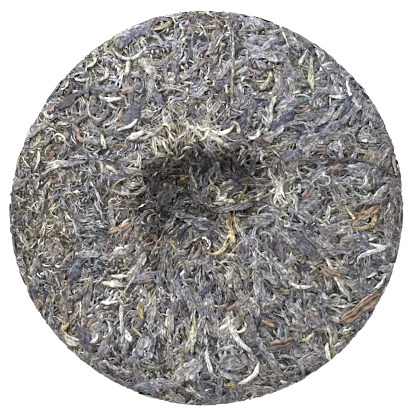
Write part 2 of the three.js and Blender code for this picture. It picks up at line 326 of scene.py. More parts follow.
def warmed(tree, colour, gain):
    """A colour link shifted to blue or to brown by the mesh's own warmth, and to violet or to
    yellow-green by spots of about three millimetres, then darkened by a gain. What is darker
    is also more saturated, because its light has been from leaf to leaf."""
    place = add_node(tree, "TexCoord", {}).outputs["Object"]
    spots_per_metre, spot_contrast, mean_brightness, fade = 300.0, 2.8, 0.1, 0.35
    spots = noise(tree, place, spots_per_metre, 1.0)
    low = 0.5 - 0.5 * spot_contrast
    spots = maths(tree, "MULTIPLY_ADD", spots, spot_contrast, low, clamp=True)
    blue, brown = (0.95, 0.975, 1.14, 1), (1.085, 0.985, 0.86, 1)
    violet, green = (1.025, 0.965, 1.06, 1), (0.98, 1.04, 0.9, 1)
    colour = times(tree, colour, mix_colour(tree, value_of(tree, "warmth"), blue, brown))
    colour = times(tree, colour, mix_colour(tree, spots, violet, green))
    colour = times(tree, colour, gain)
    brightness = maths(tree, "DIVIDE", maths(tree, "MAXIMUM", colour, 0.015), mean_brightness)
    saturation = maths(tree, "POWER", brightness, -fade)
    return add_node(tree, "HueSaturation", {"Saturation": saturation, "Color": colour}).outputs[0]


def new_material(name, roughness):
    """A material with its Principled BSDF, and the node tree that it sits in."""
    material = bpy.data.materials.new(name)
    material.use_nodes = True
    shader = material.node_tree.nodes["Principled BSDF"]
    shader.inputs["Roughness"].default_value = roughness
    shader.inputs["Specular IOR Level"].default_value = 0.25
    return material, material.node_tree, shader


def add_bump(tree, shader, height, strength, distance):
    """Feeds a height link through a Bump node into the shader's normal."""
    bump = add_node(tree, "Bump", {"Strength": strength, "Distance": distance, "Height": height})
    tree.links.new(bump.outputs["Normal"], shader.inputs["Normal"])


def pressed_tea():
    """The mass between the leaves: a mosaic of crumbs and leaf ends about three millimetres
    across, each with a tone and a direction of its own, near black to grey."""
    material, tree, shader = new_material("pressed_tea", 0.85)
    place = add_node(tree, "TexCoord", {}).outputs["Object"]
    crumbs_per_metre, full_turn, fibre_scale = 330.0, 6.283, (1300.0, 170.0, 400.0)
    near_black, grey = (0.033, 0.029, 0.027, 1), (0.17, 0.162, 0.148, 1)
    cells = add_node(tree, "TexVoronoi", {"Vector": place, "Scale": crumbs_per_metre})
    of_cell = add_node(tree, "SeparateColor", {0: cells.outputs["Color"]}).outputs
    angle = maths(tree, "MULTIPLY", of_cell[0], full_turn)
    turned = add_node(tree, "VectorRotate", {"Vector": place, "Angle": angle}, rotation_type="Z_AXIS")
    fibres = noise(tree, times(tree, turned.outputs[0], fibre_scale), 1.0, 2.0)
    crumb = mix_colour(tree, maths(tree, "POWER", of_cell[1], 1.6), near_black, grey)
    gain = maths(tree, "MAXIMUM", maths(tree, "MULTIPLY_ADD", fibres, 4.0, -1.0), 0.2)
    # The painted shade of the place, the same as on the leaves.
    gain = maths(tree, "MULTIPLY", gain, value_of(tree, "shade"))
    tree.links.new(warmed(tree, crumb, gain), shader.inputs["Base Color"])
    add_bump(tree, shader, fibres, 0.8, 0.0008)
    return material


tea_core = pressed_core()
tea_core.data.materials.append(pressed_tea())
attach(tea_core, "root")
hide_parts("tea_cake")

# The broken leaf: slivers and flakes a few millimetres long that fill the gaps between the whole
# leaves, finest at the far left. Like every kind of leaf here they are laid flat on a sheet,
# pressed level from above, and rolled with the sheet over the cake.
GOLDEN_ANGLE = np.pi * (3 - np.sqrt(5))
FRONT_REACH = SECTION_LENGTH - RIM_REACH


def spread(count, reach, draw, jitter):
    """Places spread evenly over a round sheet: a sunflower spiral, each moved a little."""
    i = np.arange(count)
    distance = reach * np.sqrt((i + 0.5) / count)
    bearing = i * GOLDEN_ANGLE + draw.uniform(0, 2 * np.pi)
    x = distance * np.cos(bearing) + draw.normal(0, jitter, count)
    y = distance * np.sin(bearing) + draw.normal(0, jitter, count)
    return x, y


def lie_of_leaf(x, y, draw, scatter):
    """The direction that leaf lies in: towards the hollow in the middle of the sheet, along the
    rim at its edge, swung by patches except just below the hollow, and with a random scatter."""
    towards = np.arctan2(y - HOLLOW["y"], x - HOLLOW["x"])
    rimward = smoothstep(np.hypot(x, y), 74, 106)
    below = np.exp(-(((np.hypot(x, y - HOLLOW["y"]) - 60) / 34) ** 2)) * smoothstep(-y, -5, 20)
    patches = (1.3 * lumps(x, y, 52, 21) + 0.8 * lumps(x, y, 21, 22)) * (1 - 0.8 * below)
    return towards + rimward * 0.5 * np.pi + patches + draw.normal(0, scatter, len(x))


def leaf_sizes(x, y, front, heading, length, width, draw):
    """A set of leaves, one array for each size, with the random shares that all kinds have. Each
    leaf is pressed to a level of its own, which differs least at the rim."""
    n = len(x)
    rough = 1 - 0.85 * smoothstep(np.hypot(x, y), 88, 102)
    level_on_front = 0.47 + 0.15 * draw.uniform(-1, 1, n)
    level_on_back = 0.9 + 0.35 * rough * draw.uniform(-1, 1, n)
    return dict(
        x=x, y=y, front=front, heading=heading, length=length, width=width,
        level=np.where(front, level_on_front, level_on_back),
        arch=draw.normal(0, 0.6, n),
        sway=draw.normal(0, 0.2, n),
        hook=np.zeros(n),
        kink=draw.uniform(0.05, 0.45, n),
        twist=draw.normal(0, 1.5, n),
        roll=draw.uniform(-np.pi, np.pi, n),
        lift=draw.uniform(-0.35, 0.6, n),
        thick=draw.uniform(0.28, 0.55, n),
        dip=draw.uniform(0.1, 0.9, n),
        blunt=draw.uniform(2.2, 9.0, n),
        fold=np.zeros(n),
        ruffle=np.zeros(n),
        pleat=np.zeros(n),
        lobe=draw.uniform(0.12, 0.3, n),
        crinkle=draw.uniform(0.04, 0.15, n),
        tone=draw.random(n),
        tint=draw.random(n),
        phase=draw.uniform(0, 2 * np.pi, n),
    )


def grow(
    count_back, count_front, draw, length, width, scatter, keep=None, jitter=4.0, strands=1, gap=1.0
):
    """A kind of leaf on both faces, of sizes between two lengths and two widths, most of them
    small. keep(x, y) is the share that stays at a place on the back. A leaf of several strands
    is laid as that many strips side by side, a gap apart, with small differences."""
    back = np.stack(spread(count_back, RIM_REACH, draw, jitter), -1)
    if keep is not None:
        back = back[draw.random(len(back)) < keep(back[:, 0], back[:, 1])]
    under = np.stack(spread(count_front, FRONT_REACH, draw, jitter), -1)
    x, y = np.concatenate([back, under]).T
    front = np.arange(len(x)) >= len(back)
    heading = lie_of_leaf(x, y, draw, scatter) + np.pi * draw.integers(0, 2, len(x))
    size = draw.beta(1.6, 3.2, len(x))
    arch = draw.normal(0, 0.8, len(x))
    tone, tint = draw.random((2, len(x)))
    tint = np.clip(0.25 + 0.5 * tint + 0.3 * lumps(x, y, 15, 33), 0, 1)
    x, y, front, heading, size, arch, tone, tint = (
        np.repeat(value, strands) for value in (x, y, front, heading, size, arch, tone, tint)
    )
    n = len(x)
    if strands > 1:
        beside = gap * (np.arange(n) % strands - 0.5 * (strands - 1)) * draw.uniform(0.7, 1.3, n)
        behind = draw.normal(0, 0.15, n) * length[0]
        x = x + behind * np.cos(heading) - beside * np.sin(heading)
        y = y + behind * np.sin(heading) + beside * np.cos(heading)
        heading = heading + draw.normal(0, 0.1, n)
        arch = arch + draw.normal(0, 0.15, n)
        tone = np.clip(tone + draw.normal(0, 0.18, n), 0, 1)
    long = (length[0] + (length[1] - length[0]) * size) * draw.uniform(0.75, 1.25, n)
    wide = width[0] + (width[1] - width[0]) * np.clip(size + draw.normal(0, 0.22, n), 0, 1)
    coarse = 0.85 + 0.35 * coarseness(x, y)
    wide = wide * coarse
    long = long * (0.4 + 0.6 * coarse)
    arch = arch * np.minimum(1, 9 / long)
    tone = tone * (1 - 0.3 * size)
    leaf = leaf_sizes(x, y, front, heading, long, wide, draw)
    leaf.update(arch=arch, tone=tone, tint=tint)
    return leaf


def leaf_shapes(leaf, rings, sides, draw):
    """Every leaf of a kind as a closed tube on the flat sheet, in arrays by leaf, ring and side.
    Its middle line turns steadily by the arch, to and fro by the sway and the kink, and by the
    hook towards its tip; its points are the running sum of that direction. Round it goes a flat
    oval with two and three lobes, which the twist turns along the way and the taper closes at
    both ends. The crinkle moves each point in or out at random, and pleats are waves across a
    broad leaf. What would stand above the leaf's level is pressed down to it."""
    size = {key: value[:, None, None] for key, value in leaf.items()}
    jitter = draw.normal(0, 1, (len(leaf["x"]), rings + 2, sides))
    t = np.linspace(-1, 1, rings + 2)[None, :, None]
    turn = size["arch"] * t + size["sway"] * np.cos(np.pi * t)
    turn = turn + size["kink"] * np.sin(2.6 * np.pi * t + size["phase"])
    turn = turn + size["hook"] * np.clip((t - 0.3) / 0.7, 0, 1) ** 1.5
    direction = size["heading"] + turn
    step = size["length"] / (rings + 1)
    line = []
    for slope in (np.cos(direction), np.sin(direction)):
        run = np.cumsum(step * 0.5 * (slope[:, 1:] + slope[:, :-1]), axis=1)
        run = np.concatenate([np.zeros((len(run), 1, 1)), run], axis=1)
        line.append(run - run.mean(axis=1, keepdims=True))
    taper = np.maximum(1 - np.abs(t) ** size["blunt"], 0) ** 0.55
    taper = taper * (1 + 0.14 * np.sin(5.1 * t + 2.3 * size["phase"]))
    around = np.linspace(0, 2 * np.pi, sides, endpoint=False)[None, None, :]
    lobes = np.cos(2 * around + 3.1 * size["phase"]) + np.cos(3 * around + 1.7 * size["phase"])
    reach = 0.5 * size["width"] * (1 + size["lobe"] * lobes + size["crinkle"] * jitter) * taper
    across, up = reach * np.cos(around), size["thick"] * reach * np.sin(around)
    turned = size["roll"] + size["twist"] * t
    flattened = 0.75
    aside = across * np.cos(turned) - up * np.sin(turned)
    height = flattened * (across * np.sin(turned) + up * np.cos(turned))
    share = aside / (0.5 * size["width"])
    height = height + size["fold"] * (np.abs(share) - 0.4)
    height = height + size["ruffle"] * share * np.abs(share) * np.sin(7.0 * t + size["phase"])
    height = height + size["pleat"] * np.cos(3.4 * np.pi * share + 2.0 * t + size["phase"]) * taper
    height = height + size["lift"] - size["dip"] * np.abs(t) ** 2.5
    softness = 0.12
    height = height - softness * np.logaddexp(0, (height - size["level"]) / softness)
    x = size["x"] + line[0] - aside * np.sin(direction)
    y = size["y"] + line[1] + aside * np.cos(direction)
    return x, y, height, np.abs(share)


def joined_leaves(name, leaf, rings, sides, draw):
    """All leaves of a kind as one mesh on the cake. The map "grain" is in millimetres round and
    along each leaf, and "OFBake" gives each leaf a tile of its own."""
    x, y, height, edge = leaf_shapes(leaf, rings, sides, draw)
    front = np.broadcast_to(leaf["front"][:, None, None], x.shape)
    world = laid(x, y, height, front)
    world[..., 2] = np.maximum(world[..., 2], 0.0)
    rise = height - leaf["level"][:, None, None]
    shade = shade_of_place(world, front)
    by_place = {"edge": edge, "rise": rise, "shade": shade, "warmth": warmth(world)}
    fields = np.concatenate([world, np.stack(list(by_place.values()), -1)], -1)
    fields = np.where(front[..., None], fields[:, :, ::-1], fields)
    count = len(x)
    body = fields[:, 1:-1].reshape(count, rings * sides, -1)
    tips = fields[:, [0, -1]].mean(axis=2)
    fields = np.concatenate([body, tips], axis=1)
    vertex, turn, along, corner_counts = tube_faces(rings, sides)
    owner = np.repeat(np.arange(count), len(vertex))
    corners = np.tile(vertex, count) + owner * (rings * sides + 2)
    turn, along = np.tile(turn, count), np.tile(along, count)
    girth, shift_round, shift_along = 2.2 * leaf["width"][owner], 7.3 * owner, 3.1 * owner
    grain = np.stack([turn * girth + shift_round, along * leaf["length"][owner] + shift_along], -1)
    tiles = int(np.ceil(np.sqrt(count)))
    tile = np.stack([owner % tiles, owner // tiles], -1)
    margin = 0.06
    bake = (tile + margin + (1 - 2 * margin) * np.stack([turn, along], -1)) / tiles
    values = {key: np.repeat(leaf[key], rings * sides + 2) for key in ("tone", "tint")}
    values.update((key, fields[..., 3 + i]) for i, key in enumerate(by_place))
    points = fields[..., :3].reshape(-1, 3)
    corner_counts = np.tile(corner_counts, count)
    return write_mesh(name, points, corners, corner_counts, {"grain": grain, "OFBake": bake}, values)


def new_group(name, inputs, outputs, output_kind):
    """An empty shader node group with its inputs, by name with a default or None for a colour,
    and with its outputs, all of one kind."""
    group = bpy.data.node_groups.new(name, "ShaderNodeTree")
    for label, default in inputs.items():
        kind = "NodeSocketColor" if default is None else "NodeSocketFloat"
        item = group.interface.new_socket(label, in_out="INPUT", socket_type=kind)
        if default is not None:
            item.default_value = default
    for label in outputs:
        group.interface.new_socket(label, in_out="OUTPUT", socket_type=output_kind)
    given, result = group.nodes.new("NodeGroupInput"), group.nodes.new("NodeGroupOutput")
    return group, given.outputs, result.inputs


def grain_group():
    """What runs along a leaf, on the map in millimetres: folds, the size of a sine wave round
    the leaf that noise moves about, with narrow grooves; fibres, noise drawn out lengthwise;
    and slow patches of tone. Its height has the wrinkles that cross the folds too."""
    group, given, result = new_group(
        "leaf_grain",
        {"Fold Pitch": 1.3, "Fold Drift": 5.0, "Wrinkle": 1.2},
        ("Fibres", "Patches", "Height"),
        "NodeSocketFloat",
    )
    grain = add_node(group, "UVMap", {}, uv_map="grain").outputs["UV"]
    round_leaf = add_node(group, "SeparateXYZ", {0: grain}).outputs["X"]
    drift = noise(group, times(group, grain, (0.5, 0.16, 1.0)), 1.0, 1.0)
    folds = maths(group, "DIVIDE", round_leaf, given["Fold Pitch"])
    folds = maths(group, "MULTIPLY_ADD", drift, given["Fold Drift"], folds)
    folds = maths(group, "SINE", maths(group, "MULTIPLY", folds, 3.1416))
    folds = maths(group, "POWER", maths(group, "ABSOLUTE", folds), 0.7)
    fibres = noise(group, times(group, grain, (2.5, 0.35, 1.0)), 1.0, 2.0)
    wrinkles = noise(group, times(group, grain, (1.0, 0.6, 1.0)), 1.1, 2.0)
    height = maths(group, "MULTIPLY_ADD", folds, 0.65, fibres)
    height = maths(group, "MULTIPLY_ADD", wrinkles, given["Wrinkle"], height)
    patches = noise(group, times(group, grain, (0.45, 0.36, 1.0)), 1.0, 2.0)
    mean_height = maths(group, "MULTIPLY_ADD", given["Wrinkle"], 0.5, 0.96)
    group.links.new(maths(group, "SUBTRACT", height, mean_height), result["Fibres"])
    group.links.new(maths(group, "SUBTRACT", patches, 0.5), result["Patches"])
    group.links.new(height, result["Height"])
    return group


def dry_leaf_group():
    """The colour of a dry leaf: from dark to light by its own tone and its patches, tinted by its own
    share of a second colour, and paler along ribs and at its edges, partly worn and partly a painted
    highlight. It is dark in a gap, where it falls below the leaf's level, a painted shade, and darker
    by the painted shade of its place, with all contrasts stronger where that shade is deep."""
    group, given, result = new_group(
        "dry_leaf",
        {
            "Dark": None, "Middle": None, "Light": None, "Tint": None, "Tint Share": 0.3,
            "Fibres": 0.0, "Patches": 0.0, "Contrast": 1.75, "Wear And Highlight": 0.6, "Shade Share": 1.0,
        },
        ("Color",),
        "NodeSocketColor",
    )
    own_tone, own_tint = value_of(group, "tone"), value_of(group, "tint")
    tone = maths(group, "MULTIPLY_ADD", given["Patches"], 1.8, own_tone, clamp=True)
    lower = maths(group, "MULTIPLY", tone, 2.0, clamp=True)
    upper = maths(group, "MULTIPLY_ADD", tone, 2.0, -1.0, clamp=True)
    colour = mix_colour(group, lower, given["Dark"], given["Middle"])
    colour = mix_colour(group, upper, colour, given["Light"])
    tint = maths(group, "ADD", own_tint, given["Patches"])
    tint = maths(group, "MULTIPLY", tint, given["Tint Share"], clamp=True)
    colour = mix_colour(group, tint, colour, given["Tint"])
    streaks = maths(group, "MULTIPLY_ADD", given["Fibres"], given["Contrast"], 1.0)
    # Paler edges: partly worn, and partly a painted highlight along the leaf's edges.
    edge = maths(group, "POWER", value_of(group, "edge"), 5.0, clamp=True)
    edge = maths(group, "SUBTRACT", edge, 0.15)
    gain = maths(group, "MULTIPLY_ADD", edge, given["Wear And Highlight"], streaks)
    gap_depth = 2.5
    # Painted shade in a gap: leaf below its level is darkened.
    painted_gap_shade = maths(group, "MULTIPLY_ADD", value_of(group, "rise"), 1 / gap_depth, 1.0, clamp=True)
    painted_gap_shade = maths(group, "MAXIMUM", painted_gap_shade, 0.15)
    gain = maths(group, "MULTIPLY", maths(group, "MAXIMUM", gain, 0.2), painted_gap_shade)
    # The painted shade of the place darkens the leaf and deepens its contrasts.
    shade = value_of(group, "shade")
    gain = maths(group, "POWER", gain, maths(group, "MULTIPLY_ADD", shade, -1.9, 2.9))
    shade = maths(group, "SUBTRACT", shade, 1.0)
    shade = maths(group, "MULTIPLY_ADD", shade, given["Shade Share"], 1.0)
    gain = maths(group, "MULTIPLY", gain, shade)
    group.links.new(warmed(group, colour, gain), result["Color"])
    return group


LEAF_GRAIN = grain_group()
DRY_LEAF = dry_leaf_group()


def leaf_material(name, colours, share, changes=(), roughness=0.6):
    """A kind of leaf's material: the two groups with its dark, middle and light colours, its
    tint, the share that takes the tint, and what it changes of the groups' own values."""
    material, tree, shader = new_material(name, roughness)
    grain = add_node(tree, "Group", {}, node_tree=LEAF_GRAIN)
    links = {label: grain.outputs[label] for label in ("Fibres", "Patches")}
    colour = add_node(tree, "Group", {"Tint Share": share, **links}, node_tree=DRY_LEAF)
    for label, value in zip(("Dark", "Middle", "Light", "Tint"), colours):
        colour.inputs[label].default_value = (*value, 1)
    for label, value in changes:
        node = grain if label in grain.inputs else colour
        node.inputs[label].default_value = value
    tree.links.new(colour.outputs["Color"], shader.inputs["Base Color"])
    add_bump(tree, shader, grain.outputs["Height"], 0.6, 0.00025)
    return material


def finish_kind(name, leaf, material, draw, rings, sides):
    """Makes a kind of leaf's piece and sets what it rides on."""
    piece = joined_leaves(name, leaf, rings, sides, draw)
    piece.data.materials.append(material)
    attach(piece, "root")


draw = np.random.default_rng(101)
broken = grow(
    7400, 2500, draw, length=(1.8, 6.0), width=(0.7, 1.9), scatter=1.2,
    keep=lambda x, y: 0.42 + 0.55 * smoothstep(0.7 * y - x, -45, 45),
    jitter=1.5,
)
broken["lift"] = draw.uniform(-0.7, 0.6, len(broken["x"]))
broken_colours = (0.1, 0.097, 0.094), (0.27, 0.266, 0.255), (0.54, 0.53, 0.5), (0.3, 0.24, 0.15)
broken_material = leaf_material("broken_leaf", broken_colours, 0.4)
finish_kind("broken_leaf", broken, broken_material, draw, rings=3, sides=4)

# The open leaves: broad grey or brown leaves that weren't rolled tight, folded along the midrib
# and pressed flat, with a crumpled blade and a pale ruffled edge.


def on_sheet(x, y):
    """Where a place in the cake's plan lies on the flat sheet, which bends down over the rim."""
    rim = np.argmax(SECTION[:, 0]) + 1
    plan = np.hypot(x, y)
    reach = np.interp(plan, SECTION[:rim, 0], SECTION_DISTANCE[:rim])
    return x * reach / plan, y * reach / plan


def placed(leaves, draw):
    """Single leaves of the back that stand out, from rows of their place in the plan, heading
    in degrees, length, width, arch, tone and, where a leaf has one, hook. They lie on top of
    the others."""
    rows = [(*row, 0)[:8] for row in leaves]
    x, y, heading, length, width, arch, tone, hook = np.array(rows, float).T
    x, y = on_sheet(x, y)
    n = len(x)
    on_front = np.zeros(n, bool)
    leaf = leaf_sizes(x, y, on_front, np.radians(heading), length, width, draw)
    leaf.update(
        arch=arch,
        tone=tone,
        hook=hook,
        sway=0.5 * leaf["sway"],
        kink=0.5 * leaf["kink"],
        tint=0.5 * leaf["tint"],
        lift=draw.uniform(1.1, 1.5, n),
        dip=draw.uniform(0, 0.4, n),
        level=draw.uniform(1.6, 1.9, n),
        roll=draw.normal(0, 0.3, n),
        twist=draw.normal(0, 0.4, n),
        thick=draw.uniform(0.22, 0.38, n),
        blunt=draw.uniform(2.0, 4.0, n),
    )
    return leaf


def together(first, second):
    """Two sets of leaves as one."""
    return {key: np.concatenate([first[key], second[key]]) for key in first}


def press_flat(leaf, draw):
    """Makes leaves thin, folded along the midrib and pleated, and lays them just under the level
    that the cake was pressed to."""
    n = len(leaf["x"])
    top_level = 1.5
    level = np.minimum(leaf["level"] + np.where(leaf["front"], 0.0, 0.15), top_level)
    leaf.update(
        roll=draw.normal(0, 0.25, n),
        twist=draw.normal(0, 0.25, n),
        thick=draw.uniform(0.1, 0.2, n),
        fold=draw.normal(0, 0.4, n),
        pleat=draw.uniform(0.05, 0.3, n),
        ruffle=draw.uniform(0.1, 0.5, n),
        arch=0.65 * leaf["arch"],
        level=level,
        lift=level - draw.uniform(0.0, 0.7, n) * (level < top_level),
    )


NOTABLE_OPEN = (
    (-21, 7, 60, 14, 8.5, 0.2, 0.15), (-66, -44, 32, 15, 3, 0.1, 0.2),
    (14, -78, 10, 15, 6.5, 0.2, 0.5), (-10, -82, 38, 20, 6.5, -0.3, 0.6),
    (70, -19, 20, 12, 6.5, 0.3, 0.2), (42, -27, 40, 11, 3.4, 0.2, 0.5),
)
draw = np.random.default_rng(102)
opened = grow(
    780, 200, draw, length=(9, 21), width=(1.8, 4.3), scatter=0.5,
    keep=lambda x, y: 0.3 + 0.7 * smoothstep(x - 0.7 * y, -50, 50),
)
opened = together(opened, placed(NOTABLE_OPEN, draw))
press_flat(opened, draw)
open_colours = (0.05, 0.05, 0.055), (0.14, 0.141, 0.146), (0.28, 0.28, 0.275), (0.17, 0.155, 0.13)
open_look = ("Fold Pitch", 1.8), ("Wrinkle", 0.9), ("Contrast", 1.9), ("Wear And Highlight", 0.9)
open_material = leaf_material("open_leaf", open_colours, 0.6, open_look)
finish_kind("open_leaves", opened, open_material, draw, rings=9, sides=10)

# The slate leaves: open leaves with a blue or violet bloom.
NOTABLE_SLATE = (
    (14, 0, 9, 23, 3.8, 0.15, 1.0), (-39, 48, 30, 11, 6.5, 0.3, -0.1),
    (-32, 90, 35, 13, 4, 0.2, 0.5), (-42, 84, 40, 10, 3.5, 0.2, 0.4),
    (42, 27, 20, 12, 4, 0.2, 0.3), (-25, -88.5, 5, 28, 5.5, -0.15, 0.9),
    (51, -20, -50, 15, 7.5, 0.2, 0.2), (-66, -30, 60, 12, 4, 0.2, 0.3),
    (-71, 55, 35, 13, 3.2, 0.4, -0.7), (-66, 58, 20, 11, 2.2, -0.5, -0.7),
    (-70, 61, 70, 9, 2.2, 0.5, -0.7), (-61, -66, -60, 14, 6, 0.2, 0.1),
    (-53, 47, 50, 13, 3.6, 0.2, 0.3), (38, 44, 40, 16, 3.6, 0.2, 0.1),
    (70, 52, 60, 15, 3.6, 0.2, 0.2), (62, 40, 30, 14, 4.5, 0.2, 0.6),
)
draw = np.random.default_rng(110)
slate = grow(80, 40, draw, length=(8, 17), width=(1.8, 4.0), scatter=0.6)
slate = together(slate, placed(NOTABLE_SLATE, draw))
press_flat(slate, draw)
slate_colours = (
    (0.035, 0.036, 0.043), (0.088, 0.091, 0.106), (0.185, 0.193, 0.215), (0.1, 0.088, 0.105)
)
slate_look = ("Fold Pitch", 1.7), ("Wrinkle", 0.9), ("Contrast", 2.0), ("Wear And Highlight", 0.9)
slate_material = leaf_material("slate_leaf", slate_colours, 0.8, slate_look)
finish_kind("slate_leaves", slate, slate_material, draw, rings=9, sides=10)

# The dark leaves: coarse older leaves rolled into twisted strips, near black with a slate or
# violet bloom, closest together on the right.
draw = np.random.default_rng(103)
dark = grow(
    1050, 400, draw, length=(6, 18), width=(0.8, 2.2), scatter=0.65,
    keep=lambda x, y: 0.62 + 0.38 * smoothstep(x, -50, 30),
    strands=2, gap=1.15,
)
dark_colours = (0.045, 0.045, 0.05), (0.13, 0.13, 0.137), (0.31, 0.31, 0.315), (0.13, 0.105, 0.14)
dark_material = leaf_material("dark_leaf", dark_colours, 0.5)
finish_kind("dark_leaves", dark, dark_material, draw, rings=6, sides=5)

# The grey leaves: rolled strips with a silver-grey dusting of down, the commonest kind.
draw = np.random.default_rng(104)
grey = grow(
    1100, 400, draw, length=(5, 16), width=(0.7, 1.9), scatter=0.7,
    keep=lambda x, y: 1 - 0.35 * smoothstep(-x, 0, 60),
    strands=2, gap=1.0,
)
grey_colours = (0.13, 0.13, 0.13), (0.27, 0.27, 0.265), (0.56, 0.56, 0.545), (0.26, 0.285, 0.3)
grey_material = leaf_material("grey_leaf", grey_colours, 0.5)
finish_kind("grey_leaves", grey, grey_material, draw, rings=6, sides=5)

# The olive leaves: younger rolled strips, grey-green to olive-yellow, most of them below.
NOTABLE_OLIVE = (
    (53, 68, -87, 20, 3.6, 0.1, 0.4), (30, 64, 60, 12, 2.4, 0.6, 0.5),
    (-7, -66, 86, 16, 2.6, 0.2, 0.7), (-52.6, 34, -75, 8, 2.6, 0.2, 0.7),
)
draw = np.random.default_rng(105)
olive = grow(
    850, 280, draw, length=(5, 15), width=(0.7, 1.8), scatter=0.8,
    keep=lambda x, y: 0.55 + 0.45 * smoothstep(-y, -10, 40),
    strands=2, gap=1.0,
)
notable = placed(NOTABLE_OLIVE, draw)
notable["tint"] = np.ones(len(NOTABLE_OLIVE))
olive = together(olive, notable)
olive_colours = (0.12, 0.125, 0.1), (0.29, 0.3, 0.245), (0.54, 0.55, 0.45), (0.3, 0.31, 0.17)
olive_material = leaf_material("olive_leaf", olive_colours, 0.6)
finish_kind("olive_leaves", olive, olive_material, draw, rings=7, sides=5)

# The pale buds: unopened leaf tips under silver-white down, thin and curled or hooked, which
# stand closest on the far and right lips of the hollow. The second table has the most curled.
NOTABLE_BUDS = (
    (15.5, -64, -58, 26, 2.7, 0.6, 0.65), (33, 50, 75, 17, 2.4, -0.5, 0.5),
    (66, 56, -5, 10, 2.8, 0.1, 0.45), (-63.5, -50.5, 88, 9, 1.3, 0.1, 0.6),
    (1, -77, -78, 14, 1.8, 0.2, 0.9), (22, -84, 48, 17, 3.2, 0.7, 1.0),
    (82.5, -23, 200, 22, 1.9, 0.1, 0.95, 2.6), (86.5, -18.5, -8, 10, 1.5, 0.3, 0.8),
    (66, -36, -58, 27, 1.6, 0.2, 0.7), (48, -39, -6, 13, 2.5, 0.6, 0.75),
    (5, 35, -35, 23, 2.4, 0.2, 0.5), (8, 37.5, -38, 16, 1.3, 0.2, 0.4),
    (-7, 39.5, -34, 17, 2.2, -0.3, 0.25), (15, 41, -60, 9, 2.2, -1.2, 0.6),
    (-28, 38, 25, 16, 2.2, 0.5, 0.3), (-20, 31, -50, 9, 1.6, 0.8, 0.7),
    (-14, 27, 20, 8, 1.5, 1.0, 0.6), (-7, 41, -42, 13, 1.2, 0.3, 0.3),
    (8, 39, 13, 14, 1.8, 0.9, 0.75), (-36, 37, 15, 11, 2.8, 0.2, 0.6),
    (-40, 42, 30, 13, 1.8, 0.5, 0.7), (5, 8.5, 100, 10, 1.1, 1.5, 0.8),
    (7.5, 5.5, 35, 8, 2.4, 0.6, 0.65), (11, 3.5, -8, 9, 2.6, -0.5, 0.6),
    (6, 2.5, 5, 7, 1.8, 0.5, 0.5), (-7, 16, -76, 14, 1.6, 0.2, 0.6),
    (-49, 56, -5, 13, 1.7, 0.4, 0.8), (-37, 77, 20, 14, 1.8, 0.8, 0.6),
    (-40, 71, 80, 9, 2.1, 0.2, 0.4), (-44, 78, -35, 12, 1.6, 0.6, 0.4),
    (-81, 48, -30, 8, 1.6, 1.4, 0.6, 1.5), (35, 15, -50, 12, 1.4, 0.4, 0.8),
    (36, 7, -75, 12, 1.5, 0.2, 0.7), (79, 13, 58, 10, 1.6, 1.2, 0.6, 1.5),
    (73, 58, -72, 19, 1.9, 0.6, 0.9), (79, 62, -40, 8, 1.5, 0.5, 0.8),
    (-44, -34, -3, 9.5, 1.9, 0.1, 0.8), (-47, -38, -5, 12, 3.2, 0.1, 0.4),
    (-49, -47, 4, 10, 2.1, 0.2, 0.7), (-38, -36, 65, 21, 1.4, 0.1, 0.4),
    (-43, -56, 90, 16, 1.7, 0.1, 0.6), (-39.5, -64, -70, 7, 3.6, 0, 1.0),
    (-57, -66, 50, 10, 1.6, 0.8, 0.8, 1.2), (-68, -64, -30, 14, 1.8, 0.7, 0.6),
    (-41, 8, -8, 17, 1.7, 0.5, 0.35), (-34, 9, 35, 9, 1.6, 0.3, 0.4),
    (61.5, -73, -75, 12, 1.9, 0.6, 1.0), (66, -68.5, 20, 9, 1.6, 0.4, 0.8),
    (-86, 24, 80, 12, 1.4, 0.5, 0.7), (-72, 63, 50, 9, 1.6, 0.9, 0.5),
    (-66, 68, 20, 9, 1.5, -0.9, 0.6), (-58, 74, 35, 9, 1.5, 0.9, 0.6),
    (10, -70, 12, 8, 2.8, 0.2, 0.5),
)
CURLED_BUDS = (
    (64.5, -46, 120, 14, 1.1, 2.4, 0.6), (87, -38, 45, 12, 1.4, 0.6, 0.9),
    (68, -49, 0, 12, 1.3, 0.5, 0.6), (44, -78, -40, 20, 1.8, -1.0, 0.2),
    (17, -60, 20, 12, 1.4, 2.0, 0.7), (-57, 48, -40, 17, 1.6, 1.4, 0.4),
    (-64, 66, -5, 10, 2.2, 0.8, 0.6), (-52, 68, 60, 11, 1.8, 1.5, 0.5),
    (-50, -61, 75, 13, 1.5, 1.4, 0.7), (-68, -66, -35, 12, 2.0, 1.1, 0.6),
    (60, 14, 100, 11, 1.3, 2.2, 0.5), (24, 37, 30, 9, 1.8, 1.5, 0.7),
    (30, -14, 150, 12, 1.2, 1.6, 0.6),
)


def near_lip(x, y):
    """1 on the far and right lips of the hollow and at the rim far left, falling to 0 in the
    hollow and away from them."""
    on_lip = np.exp(-(((hollow_share(x, y) - 1.25) / 0.35) ** 2)) * smoothstep(0.8 * x + y, -15, 25)
    on_rim = smoothstep(np.hypot(x, y), 78, 95) * smoothstep(y - 0.8 * x, 70, 110)
    return on_lip + 0.7 * on_rim


def tuft(centre, reach, count, draw):
    """Rows for a tuft of short curled buds, normally distributed round a place."""
    place = draw.normal(centre, reach, (count, 2)).T
    heading, length, width = draw.uniform((0, 5, 0.8), (360, 12, 1.5), (count, 3)).T
    arch, hook = draw.normal(0, 1, (2, count))
    tone = draw.uniform(0.15, 0.75, count)
    return np.column_stack([*place, heading, length, width, arch, tone, hook])


